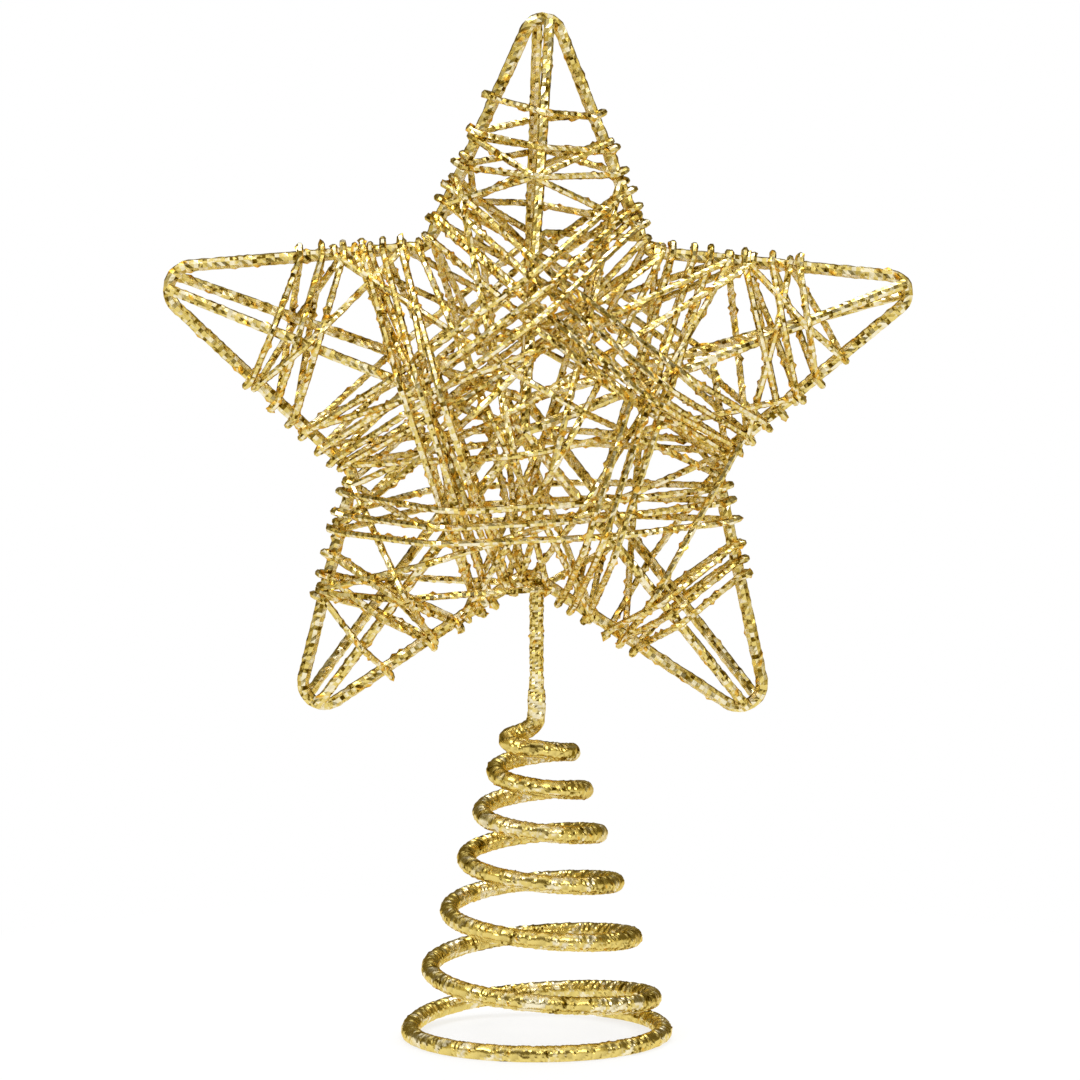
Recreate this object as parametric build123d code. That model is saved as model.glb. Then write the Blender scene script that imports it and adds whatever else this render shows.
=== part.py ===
from build123d import *
import math
import os

# A wire star for the top of a tree: a bent outline, ribs that lift a front and a back peak,
# wire wound round it, a stem and a conical coil that stands up or slips over the tree's leader.
# Millimetres, +Z up, the front towards -Y, the origin on the floor under the coil's axis.

# Wire thicknesses
outline_wire = 2.5
rib_wire = 2.1
strand_wire = 1.4
stem_wire = 2.8
coil_wire = 3.6

# Clearances
seat_clearance = 0.12
wrap_clearance = 0.32
layer_clearance = 0.75

# Star outline, bent by hand, so each corner has its own reach and turn
tip_reach = 82.0
notch_reach = 37.0
tip_bend_radius = 4.3
notch_bend_radius = 3.2
point_names = ("top", "left", "lower_left", "lower_right", "right")
notch_names = ("upper_left", "lower_left", "bottom", "lower_right", "upper_right")
first_tip_angle = 90.0
tip_reach_shares = (1.015, 1.027, 1.005, 0.996, 1.013)
tip_bend_shares = (0.84, 1.12, 1.0, 1.08, 0.82)
notch_reach_shares = (1.045, 1.049, 0.910, 1.006, 1.026)
tip_turn_angles = (-1.1, -0.9, -0.8, -0.4, -0.3)
notch_turn_angles = (-1.6, 2.4, -3.0, 0.7, 0.6)

# Ribs from each tip to the raised middle of the front and of the back
peak_depth = 24.0
peak_side_shift = -2.4
peak_drop = 2.0
rib_side_shift = 1.2
rib_side_shares = (-1.0, 1.0, 1.0, -1.0, 1.0)
rib_sides = {"front": 1.0, "back": -1.0}

# Winding round each point: where it goes round the edge before and the edge after the tip,
# loop by loop, as shares of the leg from the notch to the tip's bend
leg_share = 0.88
point_wrap_shares = {
    "top": ((0.66, 0.59), (0.505, 0.44), (0.36, 0.34)),
    "left": ((0.53, 0.495), (0.40, 0.41), (0.31, 0.325)),
    "lower_left": ((0.68, 0.545), (0.475, 0.45), (0.345, 0.36)),
    "lower_right": ((0.475, 0.51), (0.415, 0.45), (0.35, 0.385)),
    "right": ((0.605, 0.525), (0.495, 0.425), (0.385, 0.33)),
}
point_tail = 2.6

# Winding across the body, each length round two notches, two apart: where it leaves the edge
# after the first notch and turns round the edge before the second, loop by loop, as shares of the leg.
# The last share to leave at is where the end points to
body_leave_shares = (
    (0.10, 0.17, 0.25, 0.31),
    (0.09, 0.18, 0.255, 0.31),
    (0.165, 0.22, 0.285, 0.34),
    (0.10, 0.165, 0.25, 0.31),
    (0.11, 0.185, 0.255, 0.31),
)
body_turn_shares = (
    (0.09, 0.18, 0.24),
    (0.11, 0.17, 0.25),
    (0.10, 0.185, 0.25),
    (0.11, 0.20, 0.26),
    (0.09, 0.155, 0.24),
)
body_layer_shares = (3.3, 2.4, 1.6)
body_tail = 4.0

# Stem, from the coil's end to the corner of the bottom notch
stem_rise = 25.0
stem_top_share = 0.55

# Conical coil, wound left-handed from the foot ring up to the elbow under the stem
coil_foot_radius = 25.5
coil_top_radius = 5.8
coil_rise = 60.2
coil_turns = 6
coil_narrowing_share = 0.3
coil_closing_share = 0.35
coil_foot_cut = 0.5
coil_foot_share = 0.665
coil_lead_share = 0.75
elbow_height = 66.0
elbow_radius = 3.9
elbow_slope_angle = 34.0
elbow_side_drop = 5.0
elbow_side_share = 0.33
elbow_side_slope_share = 0.36
sample_run = 0.45

point_count = len(point_names)
point_step = 360 / point_count
outline_radius = outline_wire / 2
rib_radius = rib_wire / 2
strand_radius = strand_wire / 2
stem_radius = stem_wire / 2
coil_radius = coil_wire / 2
bottom = notch_names.index("bottom")
bottom_turn = math.radians(notch_turn_angles[bottom])
bottom_notch_drop = notch_reach * notch_reach_shares[bottom] * math.cos(bottom_turn)
coil_top = elbow_height + coil_wire
star_centre = Vector(0, 0, coil_top + stem_rise + bottom_notch_drop)
tip_bends = [tip_bend_radius * share for share in tip_bend_shares]


def star_place(angle, reach):
    """A place in the middle plane of the star, by its angle and its reach from the centre."""
    turn = math.radians(angle)
    return star_centre + Vector(math.cos(turn), 0, math.sin(turn)) * reach


def plan_crossing(a, b, c, d):
    """Where line a-b meets line c-d in the star's plane, on line c-d in space."""
    run = b - a
    line = d - c
    across = run.X * line.Z - run.Z * line.X
    share = ((c.Z - a.Z) * run.X - (c.X - a.X) * run.Z) / -across
    return c + line * share


def wire_along(path, diameter):
    """A round wire swept along a path."""
    start = Plane(origin=path @ 0, z_dir=path % 0)
    return sweep(start * Circle(diameter / 2), path=path)


def wound_path(coming_from, corners, going_to, tail):
    """A taut path round corners, each given as a wire's middle, its way and the strand's reach."""
    middles = [coming_from] + [middle for middle, _, _ in corners] + [going_to]
    places = []
    bends = []
    for i, (middle, way, reach) in enumerate(corners):
        before = (middles[i] - middle).normalized()
        after = (middles[i + 2] - middle).normalized()
        across = before.cross(after).normalized()
        out_before = (before * after.dot(before) - after).normalized()
        out_after = (after * before.dot(after) - before).normalized()
        slants = [way.dot(out) / way.dot(across) for out in (out_before, out_after)]
        bend = reach * max(math.hypot(1, slant) for slant in slants)
        inward = (before + after).normalized()
        half_angle = math.radians(before.get_angle(after) / 2)
        bends.append(bend)
        places.append(middle - inward * (bend / math.sin(half_angle)))
        if i == 0:
            places.insert(0, middle + out_before * bend + before * tail)
        if i == len(corners) - 1:
            places.append(middle + out_after * bend + after * tail)
    return FilletPolyline(*places, radius=bends)


def biarc(a, a_way, b, b_way):
    """Two arcs from a to b that leave and arrive along the given ways."""
    span = b - a
    both = a_way + b_way
    bend = 1 - a_way.dot(b_way)
    reach = math.sqrt(span.dot(both) ** 2 + 2 * bend * span.dot(span)) - span.dot(both)
    arm = reach / (2 * bend)
    joint = (a + a_way * arm + b - b_way * arm) / 2
    return [half_arc(a, a + a_way * arm, joint), half_arc(joint, b - b_way * arm, b)]


def half_arc(a, corner, b):
    """The arc from a to b inside the corner where its end tangents meet."""
    middle = (a + b) / 2
    half_chord = (b - a).length / 2
    turn = (corner - a).get_angle(b - a)
    rise = half_chord * math.tan(math.radians(turn) / 2)
    return ThreePointArc(a, middle + (corner - middle).normalized() * rise, b)


def biarc_path(stations, first_tail, last_tail):
    """Biarcs through stations of place and way, with a straight tail at either end."""
    first, first_way = stations[0]
    last, last_way = stations[-1]
    edges = [Line(first - first_way * first_tail, first)]
    for (a, a_way), (b, b_way) in zip(stations, stations[1:]):
        edges += biarc(a, a_way, b, b_way)
    edges.append(Line(last, last + last_way * last_tail))
    return Wire(edges)


def least_gap(name, path, diameter):
    """Print the least clear gap between stretches of one wire, measured on points along it."""
    count = int(path.length / sample_run)
    points = [tuple(path @ (i / count)) for i in range(count + 1)]
    apart = int(math.pi * diameter / sample_run)
    least = min(math.dist(points[i], points[j]) for i in range(count) for j in range(i + apart, count + 1))
    print(f"{name}: least gap to itself {least - diameter:.2f} mm")


# Corners of the outline, anticlockwise from the top as seen from the front
tips = []
notches = []
for i in range(point_count):
    tip_angle = first_tip_angle + point_step * i + tip_turn_angles[i]
    notch_angle = first_tip_angle + point_step * (i + 1 / 2) + notch_turn_angles[i]
    tips.append(star_place(tip_angle, tip_reach * tip_reach_shares[i]))
    notches.append(star_place(notch_angle, notch_reach * notch_reach_shares[i]))

outline_corners = [corner for pair in zip(tips, notches) for corner in pair]
outline_bends = [bend for tip_bend in tip_bends for bend in (tip_bend, notch_bend_radius)]
outline_path = FilletPolyline(*outline_corners, radius=outline_bends, close=True)
star_outline = wire_along(outline_path, outline_wire)

# Rib lines: the outer end lies on the face of the tip's bend, the inner end at the peak
rib_lines = {}
for face, way in rib_sides.items():
    peak = star_centre + Vector(peak_side_shift, -peak_depth * way, -peak_drop)
    for i, name in enumerate(point_names):
        left_way = (notches[i] - tips[i]).normalized()
        right_way = (notches[i - 1] - tips[i]).normalized()
        half_angle = math.radians(left_way.get_angle(right_way) / 2)
        inward = (left_way + right_way).normalized()
        crown = tips[i] + inward * (tip_bends[i] * (1 / math.sin(half_angle) - 1))
        aside = Vector(inward.Z, 0, -inward.X) * (rib_side_shift * rib_side_shares[i] * way)
        lift = Vector(0, -way * (outline_radius + rib_radius + seat_clearance), 0)
        rib_lines[face, i] = (crown + aside + lift, peak)


def rib_between(face, i):
    """One rib, its inner end mitred against the ribs on either side of it."""
    outer, peak = rib_lines[face, i]
    ways = []
    for j in (i - 1, i, i + 1):
        near = rib_lines[face, j % point_count][0] - peak
        ways.append(Vector(near.X, 0, near.Z).normalized())
    overrun = (outer - peak).normalized() * rib_wire
    rib = wire_along(Line(outer, peak - overrun), rib_wire)
    span = (outer - peak).length * 2
    base = Vector(peak.X, -span, peak.Z)
    sides = [base + (ways[1] + ways[side]).normalized() * span for side in (0, 2)]
    wedge = extrude(make_face(Polyline(base, *sides, close=True)), span * 2, dir=(0, 1, 0))
    return rib & wedge


ribs = {f"{face}_rib_{point_names[i]}": rib_between(face, i) for face, i in rib_lines}


def arm_corner(notch, side, share, reach):
    """A corner on the outline, a share of the leg from a notch towards the tip before or after it."""
    tip = tips[notch] if side == "before" else tips[(notch + 1) % point_count]
    arm = tip - notches[notch]
    return notches[notch] + arm * (leg_share * share), arm.normalized(), reach


def rib_corner(face, point, leave, arrive, reach):
    """A corner on a rib, where a strand from one corner to another crosses it."""
    outer, peak = rib_lines[face, point]
    return plan_crossing(leave[0], arrive[0], outer, peak), (outer - peak).normalized(), reach


edge_reach = outline_radius + strand_radius + wrap_clearance
rib_reach = rib_radius + strand_radius + wrap_clearance
layer = strand_wire + layer_clearance


def point_winding(point):
    """Loops round one point: over an edge, the front rib, the other edge and the back rib."""
    edges = []
    for near_share, far_share in point_wrap_shares[point_names[point]]:
        edges.append(arm_corner(point, "before", near_share, edge_reach))
        edges.append(arm_corner((point - 1) % point_count, "after", far_share, edge_reach))
    corners = []
    for half, (edge, following) in enumerate(zip(edges, edges[1:])):
        face = "front" if half % 2 == 0 else "back"
        corners.append(edge)
        corners.append(rib_corner(face, point, edge, following, rib_reach))
    corners.append(edges[-1])
    first_rib = rib_corner("back", point, edges[0], edges[1], rib_reach)
    last_rib = rib_corner("back", point, edges[-2], edges[-1], rib_reach)
    return wound_path(first_rib[0], corners, last_rib[0], point_tail)


def body_winding(start):
    """Loops round two notches, over the ribs of the two points between them, in front and behind."""
    end = (start + 2) % point_count
    early = (start + 1) % point_count
    leaves = [arm_corner(start, "after", share, edge_reach) for share in body_leave_shares[start]]
    turns = [arm_corner(end, "before", share, edge_reach) for share in body_turn_shares[start]]
    corners = []
    for leave, turn, following, layer_share in zip(leaves, turns, leaves[1:], body_layer_shares):
        over_reach = rib_reach + layer * layer_share
        corners.append(leave)
        corners.append(rib_corner("front", early, leave, turn, over_reach))
        corners.append(rib_corner("front", end, leave, turn, rib_reach))
        corners.append(turn)
        corners.append(rib_corner("back", end, turn, following, rib_reach))
        corners.append(rib_corner("back", early, turn, following, over_reach))
    return wound_path(corners[-1][0], corners, following[0], body_tail)


windings = {f"point_winding_{name}": point_winding(i) for i, name in enumerate(point_names)}
for start in range(point_count):
    windings[f"body_winding_{notch_names[(start + 1) % point_count]}"] = body_winding(start)

# Stem, coped under the bottom notch
left_arm = plan_crossing(Vector(0, 0, 0), star_centre, notches[bottom], tips[bottom])
right_arm = plan_crossing(Vector(0, 0, 0), star_centre, notches[bottom], tips[bottom + 1])
notch_height = min(left_arm.Z, right_arm.Z)
stem_top = notch_height - outline_radius * stem_top_share
stem_path = Line((0, 0, coil_top), (0, 0, stem_top))
stem = wire_along(stem_path, stem_wire) - wire_along(outline_path, outline_wire + 2 * seat_clearance)


# Coil: a flat foot ring, then turns that narrow and close up towards the elbow
def coil_station(turns):
    """Place and way on the coil, by the turns made since it left the foot ring."""
    share = max(turns, 0) / coil_turns
    narrowing = (1 + coil_narrowing_share) * share - coil_narrowing_share * share**2
    climbing = (1 + coil_closing_share) * share - coil_closing_share * share**2
    narrowing_rate = (1 + coil_narrowing_share - 2 * coil_narrowing_share * share) / coil_turns
    climbing_rate = (1 + coil_closing_share - 2 * coil_closing_share * share) / coil_turns
    rate_share = 0 if turns < 0 else 1 / 2 if turns == 0 else 1
    radius = coil_foot_radius - (coil_foot_radius - coil_top_radius) * narrowing
    inward = (coil_foot_radius - coil_top_radius) * narrowing_rate * rate_share
    upward = coil_rise * climbing_rate * rate_share
    angle = math.pi - math.tau * turns
    out = Vector(math.cos(angle), math.sin(angle), 0)
    along = Vector(math.sin(angle), -math.cos(angle), 0)
    place = out * radius + Vector(0, 0, coil_radius - coil_foot_cut + coil_rise * climbing)
    way = along * (math.tau * radius) - out * inward + Vector(0, 0, upward)
    return place, way.normalized()


coil_stations = [coil_station(-coil_foot_share)]
quarter = -2
while quarter / 4 <= coil_turns - 1 + coil_lead_share:
    coil_stations.append(coil_station(quarter / 4))
    quarter += 1
elbow_turn = math.radians(elbow_slope_angle)
elbow_back = elbow_radius * (1 - math.sin(elbow_turn))
elbow_down = elbow_radius * math.cos(elbow_turn)
side_place = Vector(-coil_top_radius, -coil_top_radius * elbow_side_share, elbow_height - elbow_side_drop)
coil_stations.append((side_place, Vector(0, 1, elbow_side_slope_share).normalized()))
elbow_way = Vector(math.cos(elbow_turn), 0, math.sin(elbow_turn))
coil_stations.append((Vector(-elbow_back, 0, elbow_height - elbow_down), elbow_way))
coil_stations.append((Vector(0, 0, elbow_height), Vector(0, 0, 1)))
coil_path = biarc_path(coil_stations, coil_wire, coil_wire)
coil_spring = split(wire_along(coil_path, coil_wire), bisect_by=Plane.XY, keep=Keep.TOP)

least_gap("coil_spring", coil_path, coil_wire)
for name, path in windings.items():
    least_gap(name, path, strand_wire)

# One file for each piece
pieces = {"star_outline": star_outline, "stem": stem, "coil_spring": coil_spring}
pieces.update(ribs)
for name, path in windings.items():
    pieces[name] = wire_along(path, strand_wire)

os.makedirs("parts", exist_ok=True)
for name, piece in pieces.items():
    piece.label = name
    export_step(piece, os.path.join("parts", f"{name}.step"))
    print(f"{name}: {len(piece.solids())} solid, {piece.volume:.1f} mm3")
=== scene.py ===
# %% [markdown]
# A gold wire star for the top of a tree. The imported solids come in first: they fix every place and size
# in metres, and the looks are built round them. Each wire of the star is wrapped in gold film, so each
# plain tube of the frame is replaced by a wrapped wire on the same line.

# %% Load the frame
import math
import random

import bpy
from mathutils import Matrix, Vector


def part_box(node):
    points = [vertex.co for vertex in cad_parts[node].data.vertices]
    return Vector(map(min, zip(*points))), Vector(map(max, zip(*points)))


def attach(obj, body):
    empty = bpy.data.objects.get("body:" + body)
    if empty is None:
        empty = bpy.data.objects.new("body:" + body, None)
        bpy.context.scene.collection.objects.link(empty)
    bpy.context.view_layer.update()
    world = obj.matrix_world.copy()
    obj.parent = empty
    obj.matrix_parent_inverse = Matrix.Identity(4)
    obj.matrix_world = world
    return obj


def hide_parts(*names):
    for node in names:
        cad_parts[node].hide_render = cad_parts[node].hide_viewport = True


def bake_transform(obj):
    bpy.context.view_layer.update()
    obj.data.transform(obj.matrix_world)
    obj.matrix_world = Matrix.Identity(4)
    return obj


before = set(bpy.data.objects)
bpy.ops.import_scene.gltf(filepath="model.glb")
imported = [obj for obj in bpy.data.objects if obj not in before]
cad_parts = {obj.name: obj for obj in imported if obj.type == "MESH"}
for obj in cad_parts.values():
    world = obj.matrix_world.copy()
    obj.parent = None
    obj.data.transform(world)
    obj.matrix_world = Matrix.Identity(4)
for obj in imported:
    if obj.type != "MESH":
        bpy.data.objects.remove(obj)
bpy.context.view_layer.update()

scene = bpy.context.scene

# %% [markdown]
# The camera stands about two metres away and looks a little down, through a long lens, so the star is
# seen nearly flat and the rings of the coil show as thin ellipses.

# %% Camera
frame_width = 0.216
aim = Vector((0.0007, 0.0, 0.1011))
camera_place = Vector((0.0007, -2.05, 0.4056))

camera_data = bpy.data.cameras.new("long_lens")
camera = bpy.data.objects.new("long_lens", camera_data)
scene.collection.objects.link(camera)
camera.location = camera_place
camera.rotation_euler = (aim - camera_place).to_track_quat("-Z", "Y").to_euler()
camera_data.sensor_width = 36.0
camera_data.lens = camera_data.sensor_width * (aim - camera_place).length / frame_width
camera_data.clip_start = 0.1
camera_data.clip_end = 50.0
scene.camera = camera
scene.view_settings.view_transform = "Standard"
print("lens:", round(camera_data.lens), "mm")

# %% [markdown]
# Node trees are long when every link has its own line. Three small helpers place a node with its settings
# and links, do a sum, and name a group's sockets. They serve the shader trees and the geometry trees
# alike.

# %% Node helpers
def add_node(tree, kind, inputs=None, **settings):
    """A node of that kind, with its settings, and its inputs set to values or linked to sockets."""
    node = tree.nodes.new(kind)
    for name, value in settings.items():
        setattr(node, name, value)
    for key, value in (inputs or {}).items():
        if isinstance(value, bpy.types.NodeSocket):
            tree.links.new(value, node.inputs[key])
        else:
            node.inputs[key].default_value = value
    return node


def calculate(tree, operation, *values):
    """The result socket of one Math node on the given values or sockets."""
    node = add_node(tree, "ShaderNodeMath", dict(enumerate(values)), operation=operation)
    return node.outputs[0]


def group_sockets(tree, inputs=(), outputs=()):
    """Make named sockets on a group and return its input node and output node."""
    for name, kind in inputs:
        tree.interface.new_socket(name, in_out="INPUT", socket_type=kind)
    for name, kind in outputs:
        tree.interface.new_socket(name, in_out="OUTPUT", socket_type=kind)
    return tree.nodes.new("NodeGroupInput"), tree.nodes.new("NodeGroupOutput")


# %% [markdown]
# Gold film is a mirror in small crumpled pieces: some catch a lamp, some catch a dark part of the room, and
# here those are painted into the colour. Each face of the wrapped wire carries a random number, its flake,
# drawn partly for the face and partly for its turn of film, and a shader group turns it into a brown painted
# dark reflection, mid gold, or a pale gold painted glint. The fold rises over each turn of film and falls at
# its edge, where painted shade darkens the colour. The knot marks the few points that stand out, in a redder
# gold.

# %% Film finish
film = bpy.data.node_groups.new("gold_film", "ShaderNodeTree")
film_in, film_out = group_sockets(
    film,
    [
        ("Gold", "NodeSocketColor"),
        ("Painted Dark", "NodeSocketColor"),
        ("Bright", "NodeSocketColor"),
        ("Knot", "NodeSocketColor"),
        ("Painted Dark Below", "NodeSocketFloat"),
        ("Painted Glint Above", "NodeSocketFloat"),
        ("Painted Seam Shade", "NodeSocketFloat"),
        ("Flake Share", "NodeSocketFloat"),
        ("Patch Share", "NodeSocketFloat"),
        ("Grain Scale", "NodeSocketFloat"),
    ],
    [
        ("Color", "NodeSocketColor"),
        ("Roughness", "NodeSocketFloat"),
        ("Height", "NodeSocketFloat"),
    ],
)


def mix_colour(tree, factor, first, second, blend="MIX"):
    """The colour result of a Mix node."""
    node = add_node(tree, "ShaderNodeMix", data_type="RGBA", blend_type=blend)
    for socket, value in ((node.inputs[0], factor), (node.inputs[6], first), (node.inputs[7], second)):
        if isinstance(value, bpy.types.NodeSocket):
            tree.links.new(value, socket)
        else:
            socket.default_value = value
    return node.outputs[2]


def ramp_between(tree, value, low, high):
    """Zero below low, one above high and a straight ramp between them."""
    node = add_node(tree, "ShaderNodeMapRange", {"Value": value, "From Min": low, "From Max": high})
    return node.outputs[0]


film_asked = film_in.outputs
flake = add_node(film, "ShaderNodeAttribute", attribute_name="flake").outputs["Fac"]
fold = add_node(film, "ShaderNodeAttribute", attribute_name="fold").outputs["Fac"]
knotted = add_node(film, "ShaderNodeAttribute", attribute_name="knot").outputs["Fac"]
place = add_node(film, "ShaderNodeTexCoord").outputs["Object"]
grain = add_node(
    film, "ShaderNodeTexNoise", {"Vector": place, "Scale": film_asked["Grain Scale"], "Detail": 3.0}
).outputs["Fac"]
flake_tone = calculate(film, "MULTIPLY", calculate(film, "SUBTRACT", flake, 0.5), film_asked["Flake Share"])
patch_tone = calculate(film, "MULTIPLY", calculate(film, "SUBTRACT", grain, 0.5), film_asked["Patch Share"])
tone_level = calculate(film, "ADD", calculate(film, "ADD", flake_tone, patch_tone), 0.5)
# Low tone levels become painted dark reflections: brown where a crumpled piece would mirror a dark part of
# the room.
painted_dark_end = calculate(film, "ADD", film_asked["Painted Dark Below"], 0.12)
not_painted_dark = ramp_between(film, tone_level, film_asked["Painted Dark Below"], painted_dark_end)
painted_dark_mask = calculate(film, "SUBTRACT", 1.0, not_painted_dark)
# High tone levels become painted glints: pale gold where a piece would catch a lamp.
painted_glint_end = calculate(film, "ADD", film_asked["Painted Glint Above"], 0.18)
painted_glint_mask = ramp_between(film, tone_level, film_asked["Painted Glint Above"], painted_glint_end)
# Painted shade along each strip edge, where the film steps down over the turn before it.
seam = calculate(film, "POWER", calculate(film, "SUBTRACT", 1.0, fold), 2.0)
painted_seam_shade_mask = calculate(film, "MULTIPLY", seam, film_asked["Painted Seam Shade"])
# Mix in the painted glints, the painted seam shade and the painted dark reflections.
tone = mix_colour(film, painted_glint_mask, film_asked["Gold"], film_asked["Bright"])
tone = mix_colour(film, painted_seam_shade_mask, tone, film_asked["Painted Dark"])
tone = mix_colour(film, painted_dark_mask, tone, film_asked["Painted Dark"])
knot_mask = ramp_between(film, knotted, 0.1, 0.5)
tone = mix_colour(film, knot_mask, tone, film_asked["Knot"])
film.links.new(tone, film_out.inputs["Color"])
film.links.new(calculate(film, "MULTIPLY_ADD", grain, 0.25, 0.12), film_out.inputs["Roughness"])
film.links.new(calculate(film, "MULTIPLY_ADD", grain, 0.6, fold), film_out.inputs["Height"])


def film_material(
    name, painted_dark_below, painted_glint_above, painted_seam_shade, flake_share, patch_share, grain_scale, bump_depth
):
    """A metal wrapped in gold film, with its own mix of painted glints, painted dark reflections and painted
    seam shade.
    """
    material = bpy.data.materials.new(name)
    material.use_nodes = True
    tree = material.node_tree
    shader = tree.nodes["Principled BSDF"]
    shader.inputs["Metallic"].default_value = 1.0
    shader.inputs["Specular Tint"].default_value = (*edge_tint, 1.0)
    finish = add_node(tree, "ShaderNodeGroup", node_tree=film)
    values = {
        "Gold": (*gold, 1.0),
        "Painted Dark": (*painted_dark_gold, 1.0),
        "Bright": (*painted_glint_gold, 1.0),
        "Knot": (*knot_gold, 1.0),
        "Painted Dark Below": painted_dark_below,
        "Painted Glint Above": painted_glint_above,
        "Painted Seam Shade": painted_seam_shade,
        "Flake Share": flake_share,
        "Patch Share": patch_share,
        "Grain Scale": grain_scale,
    }
    for socket, value in values.items():
        finish.inputs[socket].default_value = value
    bump = add_node(
        tree,
        "ShaderNodeBump",
        {"Height": finish.outputs["Height"], "Strength": 0.25, "Distance": bump_depth},
    )
    tree.links.new(finish.outputs["Color"], shader.inputs["Base Color"])
    tree.links.new(finish.outputs["Roughness"], shader.inputs["Roughness"])
    tree.links.new(bump.outputs["Normal"], shader.inputs["Normal"])
    return material


gold = (0.86, 0.68, 0.21)
# The deep brown is painted dark reflection and painted seam shade; the pale gold below it is painted glint.
painted_dark_gold = (0.17, 0.10, 0.005)
painted_glint_gold = (1.0, 0.91, 0.64)
knot_gold = (0.80, 0.46, 0.06)
edge_tint = (1.0, 0.86, 0.52)
# Each tone set says where the painted dark reflections and painted glints begin and how strong the painted
# seam shade is.
fine_tones = dict(
    painted_dark_below=0.18, painted_glint_above=0.50, painted_seam_shade=0.20, flake_share=0.8, patch_share=1.0, bump_depth=0.0002
)
broad_tones = dict(
    painted_dark_below=0.16, painted_glint_above=0.56, painted_seam_shade=0.45, flake_share=0.7, patch_share=0.8, bump_depth=0.0012
)
frame_film = film_material("frame_film", grain_scale=1100.0, **fine_tones)
winding_film = film_material("winding_film", grain_scale=1300.0, **fine_tones)
coil_film = film_material("coil_film", grain_scale=600.0, **broad_tones)
print("finishes:", frame_film.name, winding_film.name, coil_film.name)

# %% [markdown]
# One geometry tree wraps any line in film. It sweeps a ring along the line, then lifts the skin a little
# more and more over each turn of the strip and drops it at the strip's edge, as an overlapped wrap does.
# A random push on each point crumples the film, and a few points are pushed further out as small knots.

# %% Film wrap tree
wrap = bpy.data.node_groups.new("film_wrap", "GeometryNodeTree")
wrap_in, wrap_out = group_sockets(
    wrap,
    [
        ("Geometry", "NodeSocketGeometry"),
        ("Wire Radius", "NodeSocketFloat"),
        ("Sides", "NodeSocketInt"),
        ("Step", "NodeSocketFloat"),
        ("Strip Pitch", "NodeSocketFloat"),
        ("Strips", "NodeSocketInt"),
        ("Wander", "NodeSocketFloat"),
        ("Strip Lift", "NodeSocketFloat"),
        ("Crumple", "NodeSocketFloat"),
        ("Knot Share", "NodeSocketFloat"),
        ("Knot Lift", "NodeSocketFloat"),
        ("Strip Share", "NodeSocketFloat"),
        ("Smooth", "NodeSocketBool"),
        ("Seed", "NodeSocketInt"),
        ("Film", "NodeSocketMaterial"),
    ],
    [("Geometry", "NodeSocketGeometry")],
)
asked = wrap_in.outputs


def random_number(tree, low, high, seed, number=None):
    """A random number from low to high for each element, or for each whole number given."""
    given = {2: low, 3: high, 8: seed}
    if number is not None:
        given[7] = number
    node = add_node(tree, "FunctionNodeRandomValue", given, data_type="FLOAT")
    return node.outputs[1]


def captured(tree, geometry, name, value):
    """The geometry with a value kept on its points, and the kept value."""
    node = add_node(tree, "GeometryNodeCaptureAttribute", domain="POINT")
    node.capture_items.new("FLOAT", name)
    tree.links.new(geometry, node.inputs[0])
    tree.links.new(value, node.inputs[1])
    return node.outputs[0], node.outputs[1]


line = add_node(
    wrap, "GeometryNodeResampleCurve", {"Curve": asked["Geometry"], "Length": asked["Step"]}, mode="LENGTH"
).outputs[0]
along_line = add_node(wrap, "GeometryNodeSplineParameter").outputs["Length"]
line, along = captured(wrap, line, "Along", along_line)
ring = add_node(
    wrap,
    "GeometryNodeCurvePrimitiveCircle",
    {"Resolution": asked["Sides"], "Radius": asked["Wire Radius"]},
    mode="RADIUS",
).outputs[0]
around_ring = add_node(wrap, "GeometryNodeSplineParameter").outputs["Factor"]
ring, around = captured(wrap, ring, "Around", around_ring)
skin = add_node(
    wrap, "GeometryNodeCurveToMesh", {"Curve": line, "Profile Curve": ring, "Fill Caps": True}
).outputs[0]

twist = calculate(wrap, "MULTIPLY", around, asked["Strips"])
pitches = calculate(wrap, "DIVIDE", along, asked["Strip Pitch"])
drift = add_node(
    wrap, "ShaderNodeTexNoise", {"W": pitches, "Scale": 0.45}, noise_dimensions="1D"
).outputs["Fac"]
turns = calculate(wrap, "ADD", pitches, twist)
turns = calculate(wrap, "ADD", turns, calculate(wrap, "MULTIPLY", drift, asked["Wander"]))
rise = calculate(wrap, "FRACT", turns)
lift = calculate(wrap, "MULTIPLY", rise, asked["Strip Lift"])
crumple = calculate(wrap, "MULTIPLY", random_number(wrap, -1.0, 1.0, asked["Seed"]), asked["Crumple"])
knot_draw = random_number(wrap, 0.0, 1.0, calculate(wrap, "ADD", asked["Seed"], 7.0))
knot = calculate(wrap, "LESS_THAN", knot_draw, asked["Knot Share"])
knot_lift = calculate(wrap, "MULTIPLY", knot, asked["Knot Lift"])
push = calculate(wrap, "ADD", calculate(wrap, "ADD", lift, crumple), knot_lift)
outward = add_node(wrap, "GeometryNodeInputNormal").outputs[0]
offset = add_node(wrap, "ShaderNodeVectorMath", {0: outward, "Scale": push}, operation="SCALE").outputs[0]
skin = add_node(wrap, "GeometryNodeSetPosition", {"Geometry": skin, "Offset": offset}).outputs[0]
skin = add_node(
    wrap, "GeometryNodeStoreNamedAttribute", {"Geometry": skin, "Name": "fold", "Value": rise},
    data_type="FLOAT", domain="POINT",
).outputs[0]
face_draw = random_number(wrap, 0.0, 1.0, calculate(wrap, "ADD", asked["Seed"], 13.0))
strip_draw = random_number(
    wrap, 0.0, 1.0, calculate(wrap, "ADD", asked["Seed"], 17.0), calculate(wrap, "FLOOR", turns)
)
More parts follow.
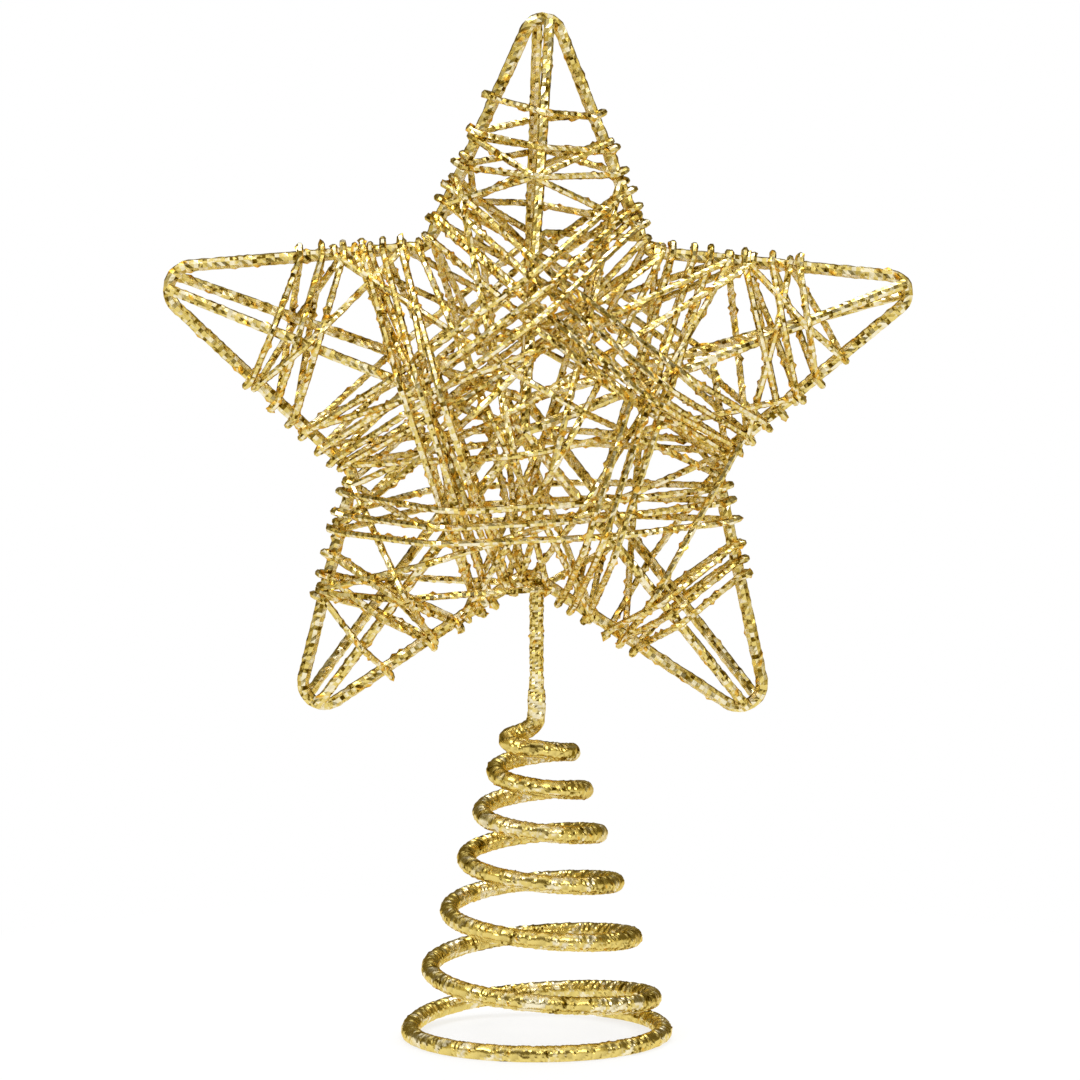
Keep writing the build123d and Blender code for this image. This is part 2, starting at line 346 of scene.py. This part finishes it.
skin = add_node(
    wrap, "GeometryNodeStoreNamedAttribute", {"Geometry": skin, "Name": "knot", "Value": knot},
    data_type="FLOAT", domain="POINT",
).outputs[0]
flake_draw = add_node(
    wrap, "ShaderNodeMix", {0: asked["Strip Share"], 2: face_draw, 3: strip_draw}, data_type="FLOAT"
).outputs[0]
skin = add_node(
    wrap, "GeometryNodeStoreNamedAttribute", {"Geometry": skin, "Name": "flake", "Value": flake_draw},
    data_type="FLOAT", domain="FACE",
).outputs[0]
skin = add_node(
    wrap, "GeometryNodeSetShadeSmooth", {"Geometry": skin, "Shade Smooth": asked["Smooth"]}
).outputs[0]
skin = add_node(wrap, "GeometryNodeRealizeInstances", {"Geometry": skin}).outputs[0]
skin = add_node(wrap, "GeometryNodeSetMaterial", {"Geometry": skin, "Material": asked["Film"]}).outputs[0]
wrap.links.new(skin, wrap_out.inputs[0])
wrap_sockets = {
    item.name: item.identifier for item in wrap.interface.items_tree if item.in_out == "INPUT"
}
print("film wrap inputs:", ", ".join(wrap_sockets))


def wrapped_wire(name, lines, closed, sizes, seed, material):
    """A plain mesh of wire wrapped in film along lines of points."""
    curve = bpy.data.curves.new(name + "_line", "CURVE")
    curve.dimensions = "3D"
    for points in lines:
        spline = curve.splines.new("POLY")
        spline.points.add(len(points) - 1)
        for point, place in zip(spline.points, points):
            point.co = (*place, 1.0)
        spline.use_cyclic_u = closed
    carrier = bpy.data.objects.new(name + "_line", curve)
    scene.collection.objects.link(carrier)
    modifier = carrier.modifiers.new("film_wrap", "NODES")
    modifier.node_group = wrap
    for socket, value in {**sizes, "Seed": seed, "Film": material}.items():
        modifier[wrap_sockets[socket]] = value
    evaluated = carrier.evaluated_get(bpy.context.evaluated_depsgraph_get())
    mesh = bpy.data.meshes.new_from_object(evaluated)
    mesh.name = name
    bpy.data.objects.remove(carrier)
    bpy.data.curves.remove(curve)
    piece = bpy.data.objects.new(name, mesh)
    scene.collection.objects.link(piece)
    return piece


def film_sizes(
    diameter, sides, steps, pitch, strips, wander, lift, crumple, knot_share, knot_lift, strip_share, smooth
):
    """The wrap's sizes for one wire: the film rises and falls about its surface, and the knots stand out."""
    return {
        "Wire Radius": diameter / 2 - lift / 2,
        "Sides": sides,
        "Step": pitch / steps,
        "Strip Pitch": pitch,
        "Strips": strips,
        "Wander": wander,
        "Strip Lift": lift,
        "Crumple": crumple,
        "Knot Share": knot_share,
        "Knot Lift": knot_lift,
        "Strip Share": strip_share,
        "Smooth": smooth,
    }


# %% [markdown]
# The outline and the ribs carry the rest, and the ribs are the thinner wire. Their corners are those of
# the frame: five tips and five notches, each a little off a true star, because the wire was bent by hand.

# %% Star lines
star_middle = Vector((0.0, 0.0, 0.12822))
tip_reach = 0.0820
notch_reach = 0.0370
tip_bend = 0.0043
notch_bend = 0.0032
outline_wire = 0.0025
rib_wire = 0.0021
strand_wire = 0.0014
point_names = ("top", "left", "lower_left", "lower_right", "right")
tip_shares = (1.015, 1.027, 1.005, 0.996, 1.013)
tip_bend_shares = (0.84, 1.12, 1.0, 1.08, 0.82)
notch_shares = (1.045, 1.049, 0.910, 1.006, 1.026)
tip_turns = (-1.1, -0.9, -0.8, -0.4, -0.3)
notch_turns = (-1.6, 2.4, -3.0, 0.7, 0.6)
peak_depth = 0.0240
peak_shift = -0.0024
peak_drop = 0.0020
rib_shift = 0.0012
rib_shift_shares = (-1.0, 1.0, 1.0, -1.0, 1.0)
rib_gap = 0.00012
face_ways = {"front": -1.0, "back": 1.0}


def star_place(angle, reach):
    """A place in the star's plane, by its angle in degrees and its reach from the middle."""
    turn = math.radians(angle)
    return star_middle + Vector((math.cos(turn), 0.0, math.sin(turn))) * reach


tips = [star_place(90 + 72 * i + tip_turns[i], tip_reach * tip_shares[i]) for i in range(5)]
notches = [star_place(126 + 72 * i + notch_turns[i], notch_reach * notch_shares[i]) for i in range(5)]


def rounded(before, corner, after, bend, steps):
    """Points on the arc that rounds a corner."""
    first = (before - corner).normalized()
    second = (after - corner).normalized()
    half = first.angle(second) / 2
    inward = (first + second).normalized()
    hub = corner + inward * (bend / math.sin(half))
    start = corner + first * (bend / math.tan(half)) - hub
    end = corner + second * (bend / math.tan(half)) - hub
    return [hub + start.lerp(end, i / steps).normalized() * bend for i in range(steps + 1)]


corners = [corner for pair in zip(tips, notches) for corner in pair]
outline_points = []
for i, corner in enumerate(corners):
    bend = tip_bend * tip_bend_shares[i // 2] if i % 2 == 0 else notch_bend
    outline_points += rounded(corners[i - 1], corner, corners[(i + 1) % 10], bend, 12)

rib_lines = {}
for face, way in face_ways.items():
    peak = star_middle + Vector((peak_shift, peak_depth * way, -peak_drop))
    for i, name in enumerate(point_names):
        left = (notches[i] - tips[i]).normalized()
        right = (notches[i - 1] - tips[i]).normalized()
        inward = (left + right).normalized()
        half_angle = left.angle(right) / 2
        crown = tips[i] + inward * (tip_bend * tip_bend_shares[i] * (1 / math.sin(half_angle) - 1))
        aside = Vector((inward.z, 0.0, -inward.x)) * (-rib_shift * rib_shift_shares[i] * way)
        lift = Vector((0.0, way * (outline_wire / 2 + rib_wire / 2 + rib_gap), 0.0))
        rib_lines[face, name] = (peak, crown + aside + lift)

# %% [markdown]
# The wires of the star are wrapped finely: an edge of the film comes round about every two millimetres.

# %% Outline, ribs
frame_wrap = dict(
    sides=9, steps=2, pitch=0.0018, strips=2, wander=1.0, lift=0.00014, crumple=0.00007,
    knot_share=0.02, knot_lift=0.00034, strip_share=0.2, smooth=False,
)
frame_sizes = film_sizes(outline_wire, **frame_wrap)
rib_sizes = film_sizes(rib_wire, **frame_wrap)
outline = wrapped_wire("wrapped_outline", [outline_points], True, frame_sizes, 11, frame_film)
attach(outline, "star")
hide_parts("star_outline")
for number, ((face, name), (peak, end)) in enumerate(rib_lines.items()):
    rib_name = f"wrapped_{face}_rib_{name}"
    rib = wrapped_wire(rib_name, [[peak, end]], False, rib_sizes, 20 + number, frame_film)
    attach(rib, "star")
    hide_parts(f"{face}_rib_{name}")
print("outline and ribs:", 1 + len(rib_lines))

# %% [markdown]
# The strand is wound by hand over the frame: it goes round an edge of the outline, across a face, over
# whichever ribs stand in its way, round another edge, and back across the other face. A winding is
# written as the edges it goes round, each with the share of the leg from the notch to the tip's bend. The
# ten edges are numbered from the top, anticlockwise as seen from the front.

# %% Winding lines
leg_share = 0.88
wrap_clearance = 0.00032
wrap_reach = outline_wire / 2 + strand_wire / 2 + wrap_clearance
rib_reach = rib_wire / 2 + strand_wire / 2 + wrap_clearance
tight_share = 0.64
bridge_steps = 6


def edge_ends(edge):
    """The notch and the tip that an edge runs between."""
    return notches[edge // 2], tips[(edge // 2 + edge % 2) % 5]


def arm(edge, share):
    """Place on one of the ten edges, and the way out of the star there."""
    notch, tip = edge_ends(edge)
    way = (tip - notch).normalized()
    out = Vector((way.z, 0.0, -way.x)) * (-1.0 if edge % 2 == 0 else 1.0)
    return notch.lerp(tip, share * leg_share), out


def rib_place(face, name, share, lift):
    """Place of a strand that lies over a rib."""
    peak, end = rib_lines[face, name]
    return peak.lerp(end, share) + Vector((0.0, face_ways[face] * (rib_reach + lift), 0.0))


def crossings(face, start, end, lift):
    """Where a straight strand from start to end meets the ribs of a face: (share of the run, place)."""
    found = []
    run = end - start
    for name in point_names:
        peak, tip = rib_lines[face, name]
        rib = tip - peak
        across = run.x * rib.z - run.z * rib.x
        if abs(across) < 1e-9:
            continue
        gap = peak - start
        at = (gap.x * rib.z - gap.z * rib.x) / across
        share = (gap.x * run.z - gap.z * run.x) / across
        if 0.03 < at < 0.97 and 0.0 < share < 1.0:
            found.append((at, rib_place(face, name, share, lift)))
    return sorted(found, key=lambda pair: pair[0])


def taut(face, start, end, lift):
    """The places where a strand pulled tight from start to end bears on ribs."""
    way = face_ways[face]
    stops = [(0.0, start)] + crossings(face, start, end, lift) + [(1.0, end)]
    kept = []
    for stop in stops:
        while len(kept) > 1:
            (a, first), (b, second) = kept[-2], kept[-1]
            level = first.y + (stop[1].y - first.y) * (b - a) / (stop[0] - a)
            if (second.y - level) * way > 0:
                break
            kept.pop()
        kept.append(stop)
    return [place for _, place in kept[1:-1]]


def bridged(before, crown, after, face, reach):
    """Points on the bow of a strand that bridges a rib, between its straight runs."""
    way = Vector((0.0, face_ways[face], 0.0))
    middle = crown - way * reach
    along = after - before
    along.y = 0.0
    along.normalize()
    turns = []
    for place, side in ((before, 1.0), (after, -1.0)):
        span = place - middle
        level, height = span.dot(along), span.dot(way)
        touch = math.acos(min(1.0, reach / math.hypot(level, height)))
        turns.append(math.atan2(level, height) + side * touch)
    if turns[0] >= turns[1]:
        return [crown]
    angles = [turns[0] + (turns[1] - turns[0]) * i / bridge_steps for i in range(bridge_steps + 1)]
    return [middle + (along * math.sin(angle) + way * math.cos(angle)) * reach for angle in angles]


def wound_line(face, loops, later, layers, draw):
    """Points of one strand round its anchors, changing face at each edge, with the later ones tight."""
    points = []
    bridges = []
    last = None
    for number, (key, share, *lifted) in enumerate(loops + later):
        if isinstance(key, str):
            here = rib_place(face, key, share, *lifted)
            points += taut(face, last, here, draw.uniform(0.0, layers)) + [here]
            if lifted[0] > 0.0:
                bridges.append((len(points) - 1, face, rib_reach + lifted[0]))
            last = here
            continue
        middle, out = arm(key, share)
        way = face_ways[face]
        arrive = middle + Vector((0.0, way * wrap_reach, 0.0))
        if last is not None:
            points += taut(face, last, arrive, draw.uniform(0.0, layers))
        bulge = wrap_reach if number < len(loops) else wrap_reach * tight_share
        for step in range(-3, 4):
            turn = math.radians(30 * step)
            across = Vector((0.0, -way * math.sin(turn) * wrap_reach, 0.0))
            points.append(middle + out * (math.cos(turn) * bulge) + across)
        face = "back" if face == "front" else "front"
        last = points[-1]
    for at, side, reach in reversed(bridges):
        points[at:at + 1] = bridged(points[at - 1], points[at], points[at + 1], side, reach)
    return points


# %% [markdown]
# Each winding starts with the loops that its solid has in the frame, on the same lines and with the same
# reach round the outline, and goes on with the crossings that the hand laid over them, which are pulled
# tight. Round a point the loops step down from the tip. Across the middle each one goes round two
# notches: it bridges the first rib on its way, over the lengths that lie there, and rests on the second.

# %% Windings
point_loops = {
    "top": [(0, 0.66), (9, 0.59), (0, 0.505), (9, 0.44), (0, 0.36), (9, 0.34)],
    "left": [(2, 0.53), (1, 0.495), (2, 0.40), (1, 0.41), (2, 0.31), (1, 0.325)],
    "lower_left": [(4, 0.68), (3, 0.545), (4, 0.475), (3, 0.45), (4, 0.345), (3, 0.36)],
    "lower_right": [(6, 0.475), (5, 0.51), (6, 0.415), (5, 0.45), (6, 0.35), (5, 0.385)],
    "right": [(8, 0.605), (7, 0.525), (8, 0.495), (7, 0.425), (8, 0.385), (7, 0.33)],
}
point_crossings = {
    "top": [(0, 0.48), (9, 0.12), (0, 0.20), (9, 0.47), (0, 0.13), (7, 0.10), (2, 0.15), (9, 0.15)],
    "left": [(2, 0.50), (1, 0.10), (7, 0.04), (0, 0.04), (4, 0.02), (1, 0.28), (4, 0.25), (1, 0.09)],
    "lower_left": [(4, 0.46), (3, 0.04), (8, 0.06), (2, 0.05), (7, 0.05), (3, 0.50), (5, 0.10), (3, 0.52)],
    "lower_right": [(7, 0.15), (5, 0.45), (8, 0.04)],
    "right": [(8, 0.40), (7, 0.66), (8, 0.565), (7, 0.17), (8, 0.32), (2, 0.25), (8, 0.33), (5, 0.02)],
}
notch_names = ("upper_left", "lower_left", "bottom", "lower_right", "upper_right")
body_leaves = (
    (0.10, 0.17, 0.25, 0.31),
    (0.09, 0.18, 0.255, 0.31),
    (0.165, 0.22, 0.285, 0.34),
    (0.10, 0.165, 0.25, 0.31),
    (0.11, 0.185, 0.255, 0.31),
)
body_turns = (
    (0.09, 0.18, 0.24),
    (0.11, 0.17, 0.25),
    (0.10, 0.185, 0.25),
    (0.11, 0.20, 0.26),
    (0.09, 0.155, 0.24),
)
body_lifts = (0.00710, 0.00516, 0.00344)
body_crossings = {
    "lower_left": [(1, 0.22), (4, 0.10), (9, 0.30), (4, 0.03), (0, 0.40)],
    "bottom": [(3, 0.05), (8, 0.42), (2, 0.05), (7, 0.40)],
    "lower_right": [(5, 0.09), (0, 0.30), (6, 0.05), (1, 0.36), (7, 0.02)],
    "upper_right": [(7, 0.06), (0, 0.04), (5, 0.30), (1, 0.03)],
    "upper_left": [(9, 0.05), (3, 0.22), (8, 0.06), (4, 0.30), (9, 0.02)],
}


def rib_share(face, name, start, end):
    """The share of a rib at which a strand between two places on the outline crosses it."""
    peak, tip = rib_lines[face, name]
    run = end - start
    rib = tip - peak
    gap = peak - start
    return (gap.x * run.z - gap.z * run.x) / (run.x * rib.z - run.z * rib.x)


def body_loops(start):
    """Anchors of the loops round two notches, two apart, and over the ribs of the points between them."""
    end = (start + 2) % 5
    early, late = point_names[(start + 1) % 5], point_names[end]
    leave_edge, turn_edge = 2 * start + 1, 2 * end
    leaves = [(leave_edge, share) for share in body_leaves[start]]
    turns = [(turn_edge, share) for share in body_turns[start]]
    anchors = []
    for leave, turn, after, lift in zip(leaves, turns, leaves[1:], body_lifts):
        for face, first, second in (("front", leave, turn), ("back", turn, after)):
            places = arm(*first)[0], arm(*second)[0]
            over = (early, rib_share(face, early, *places), lift)
            direct = (late, rib_share(face, late, *places), 0.0)
            anchors += [first, over, direct] if face == "front" else [first, direct, over]
    return anchors


windings = {f"point_winding_{name}": (point_loops[name], point_crossings[name]) for name in point_names}
for start in range(5):
    name = notch_names[(start + 1) % 5]
    windings[f"body_winding_{name}"] = (body_loops(start), body_crossings[name])

strand_sizes = film_sizes(
    strand_wire, sides=7, steps=2, pitch=0.0017, strips=1, wander=1.0, lift=0.00012, crumple=0.00006,
    knot_share=0.04, knot_lift=0.00042, strip_share=0.2, smooth=False,
)
point_layers = 0.0006
body_layers = 0.0020
for number, (node, (loops, later)) in enumerate(windings.items()):
    layers = point_layers if node.startswith("point") else body_layers
    points = wound_line("back", loops, later, layers, random.Random(40 + number))
    winding = wrapped_wire("wrapped_" + node, [points], False, strand_sizes, 60 + number, winding_film)
    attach(winding, "star")
    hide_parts(node)
    print(winding.name, len(winding.data.polygons), "faces")

# %% [markdown]
# The coil and the stem are thicker wire. The coil narrows and closes up from its flat foot ring to the
# elbow, and follows the frame's own rule for that. It stands on the base and carries the star. The stem is
# thinner, and its film spreads over the joint.

# %% Coil and stem
coil_wire = 0.0036
stem_wire = 0.0028
foot_radius = 0.0255
top_radius = 0.0058
coil_rise = 0.0602
coil_turns = 6
narrowing = 0.30
closing = 0.35
foot_cut = 0.0005
foot_turn = 0.665
elbow_height = 0.0660
elbow_radius = 0.0039
elbow_slope = math.radians(34.0)
elbow_side_drop = 0.0050
elbow_side_share = 0.33
elbow_side_slope = 0.36
coil_end = elbow_height + coil_wire
spread_height = 0.0050
elbow_turn = 0.25
points_per_turn = 48
bow_pull = 1.17


def coil_station(turns):
    """Place and way on the coil, by the turns made since it left the foot ring."""
    share = max(turns, 0.0) / coil_turns
    radius = foot_radius - (foot_radius - top_radius) * ((1 + narrowing) * share - narrowing * share**2)
    height = coil_wire / 2 - foot_cut + coil_rise * ((1 + closing) * share - closing * share**2)
    angle = math.pi - math.tau * turns
    return Vector((math.cos(angle) * radius, math.sin(angle) * radius, height))


coil_points = []
step = -foot_turn
while step <= coil_turns - elbow_turn:
    coil_points.append(coil_station(step))
    step += 1 / points_per_turn


def bowed(a, a_way, b, b_way, steps):
    """Points on a smooth bow from a to b that leaves and arrives along the given ways."""
    pull = (b - a).length * bow_pull
    found = []
    for i in range(1, steps + 1):
        t = i / steps
        found.append(
            a * (2 * t**3 - 3 * t**2 + 1) + a_way * (pull * (t**3 - 2 * t**2 + t))
            + b * (3 * t**2 - 2 * t**3) + b_way * (pull * (t**3 - t**2))
        )
    return found


last_way = (coil_points[-1] - coil_points[-2]).normalized()
side = Vector((-top_radius, -top_radius * elbow_side_share, elbow_height - elbow_side_drop))
side_way = Vector((0.0, 1.0, elbow_side_slope)).normalized()
foot_of_elbow = Vector(
    (-elbow_radius * (1 - math.sin(elbow_slope)), 0.0, elbow_height - elbow_radius * math.cos(elbow_slope))
)
elbow_way = Vector((math.cos(elbow_slope), 0.0, math.sin(elbow_slope)))
up = Vector((0.0, 0.0, 1.0))
coil_points += bowed(coil_points[-1], last_way, side, side_way, 14)
coil_points += bowed(side, side_way, foot_of_elbow, elbow_way, 14)
coil_points += bowed(foot_of_elbow, elbow_way, up * elbow_height, up, 6)
coil_points.append(up * coil_end)

coil_sizes = film_sizes(
    coil_wire, sides=20, steps=5, pitch=0.0022, strips=3, wander=3.0, lift=0.00022, crumple=0.00003,
    knot_share=0.006, knot_lift=0.00018, strip_share=0.75, smooth=True,
)
coil = wrapped_wire("wrapped_coil", [coil_points], False, coil_sizes, 80, coil_film)
for vertex in coil.data.vertices:
    vertex.co.z = max(vertex.co.z, 0.0)
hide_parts("coil_spring")
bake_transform(coil)

stem_low, stem_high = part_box("stem")
stem_sizes = film_sizes(
    stem_wire, sides=14, steps=4, pitch=0.0020, strips=2, wander=2.0, lift=0.00018, crumple=0.00006,
    knot_share=0.02, knot_lift=0.00022, strip_share=0.35, smooth=False,
)
stem_line = [up * stem_low.z, up * stem_high.z]
stem = wrapped_wire("wrapped_stem", [stem_line], False, stem_sizes, 81, frame_film)
for vertex in stem.data.vertices:
    nearness = max(0.0, 1.0 - (vertex.co.z - stem_low.z) / spread_height)
    spread = 1.0 + nearness**2 * (coil_wire / stem_wire - 1.0)
    vertex.co.x *= spread
    vertex.co.y *= spread
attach(stem, "star")
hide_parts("stem")
print("coil:", len(coil.data.polygons), "faces; stem:", len(stem.data.polygons), "faces")

# %% [markdown]
# The star stands on a white table in a white room, and the camera sees white in both. Close to the foot
# ring part of the table stays ordinary matt white, so a faint shadow is kept. Mirrored rays see white
# overhead and on the table in front, and warm or brown parts of the room elsewhere: the film takes its
# darker flecks from them.

# %% Table and room
white = (1.0, 1.0, 1.0, 1.0)
warm = (0.62, 0.54, 0.26, 1.0)
brown = (0.15, 0.12, 0.04, 1.0)
table_mesh = bpy.data.meshes.new("table")
half = 3.0
table_corners = [(-half, -half, 0), (half, -half, 0), (half, half, 0), (-half, half, 0)]
table_mesh.from_pydata(table_corners, [], [(0, 1, 2, 3)])
table = bpy.data.objects.new("table", table_mesh)
table.location.z = -0.00005
scene.collection.objects.link(table)
table_white = bpy.data.materials.new("table_white")
table_white.use_nodes = True
tree = table_white.node_tree
tree.nodes.clear()
path = add_node(tree, "ShaderNodeLightPath")
seen = calculate(tree, "MAXIMUM", path.outputs["Is Camera Ray"], path.outputs["Is Transmission Ray"])
spot = add_node(tree, "ShaderNodeTexCoord").outputs["Object"]
distance = add_node(tree, "ShaderNodeVectorMath", {0: spot}, operation="LENGTH").outputs["Value"]
plain = ramp_between(tree, distance, 0.04, 0.16)
share = calculate(tree, "MULTIPLY", seen, calculate(tree, "MULTIPLY_ADD", plain, 0.28, 0.72))
mirrored = path.outputs["Is Glossy Ray"]
share = calculate(tree, "MAXIMUM", share, mirrored)
from_front = add_node(
    tree, "ShaderNodeVectorMath", {0: spot, 1: (0.0, -0.55, 0.0)}, operation="DISTANCE"
).outputs["Value"]
far = calculate(tree, "MULTIPLY", ramp_between(tree, from_front, 0.55, 0.95), mirrored)
table_colour = mix_colour(tree, far, white, warm)
matt = add_node(tree, "ShaderNodeBsdfDiffuse", {"Color": (0.9, 0.9, 0.9, 1.0)})
glow = add_node(tree, "ShaderNodeEmission", {"Color": table_colour, "Strength": 1.0})
both = add_node(tree, "ShaderNodeMixShader", {0: share, 1: matt.outputs[0], 2: glow.outputs[0]})
add_node(tree, "ShaderNodeOutputMaterial", {"Surface": both.outputs[0]})
table_mesh.materials.append(table_white)

world = bpy.data.worlds.new("white_room")
scene.world = world
world.use_nodes = True
tree = world.node_tree
tree.nodes.clear()
heading = add_node(tree, "ShaderNodeTexCoord").outputs["Generated"]
ways = add_node(tree, "ShaderNodeSeparateXYZ", {0: heading})
below_ceiling = ramp_between(tree, ways.outputs["Z"], 0.86, 0.62)
path = add_node(tree, "ShaderNodeLightPath")
dark = calculate(tree, "MULTIPLY", below_ceiling, path.outputs["Is Glossy Ray"])
behind_camera = ramp_between(tree, ways.outputs["Y"], -0.40, -0.75)
above_table = ramp_between(tree, ways.outputs["Z"], 0.02, 0.12)
beside_star = ramp_between(tree, ways.outputs["Y"], -0.30, 0.15)
unlit = calculate(tree, "MAXIMUM", calculate(tree, "MULTIPLY", behind_camera, above_table), beside_star)
shade = mix_colour(tree, unlit, warm, brown)
sky = mix_colour(tree, dark, white, shade)
room = add_node(tree, "ShaderNodeBackground", {"Color": sky, "Strength": 1.0})
add_node(tree, "ShaderNodeOutputWorld", {"Surface": room.outputs[0]})


def softbox(name, place, target, size, watts):
    """A square area lamp turned to a target."""
    data = bpy.data.lights.new(name, "AREA")
    data.size = size
    data.energy = watts
    lamp = bpy.data.objects.new(name, data)
    scene.collection.objects.link(lamp)
    lamp.location = place
    lamp.rotation_euler = (Vector(target) - Vector(place)).to_track_quat("-Z", "Y").to_euler()


lit_place = (0, 0, 0.1)
lamp_size = 0.6
softbox("key_softbox", (-0.9, -1.0, 1.1), lit_place, lamp_size, 7.0)
softbox("fill_softbox", (1.1, -0.9, 0.7), lit_place, lamp_size, 4.0)
softbox("top_softbox", (0.1, 0.4, 1.3), lit_place, lamp_size, 5.0)
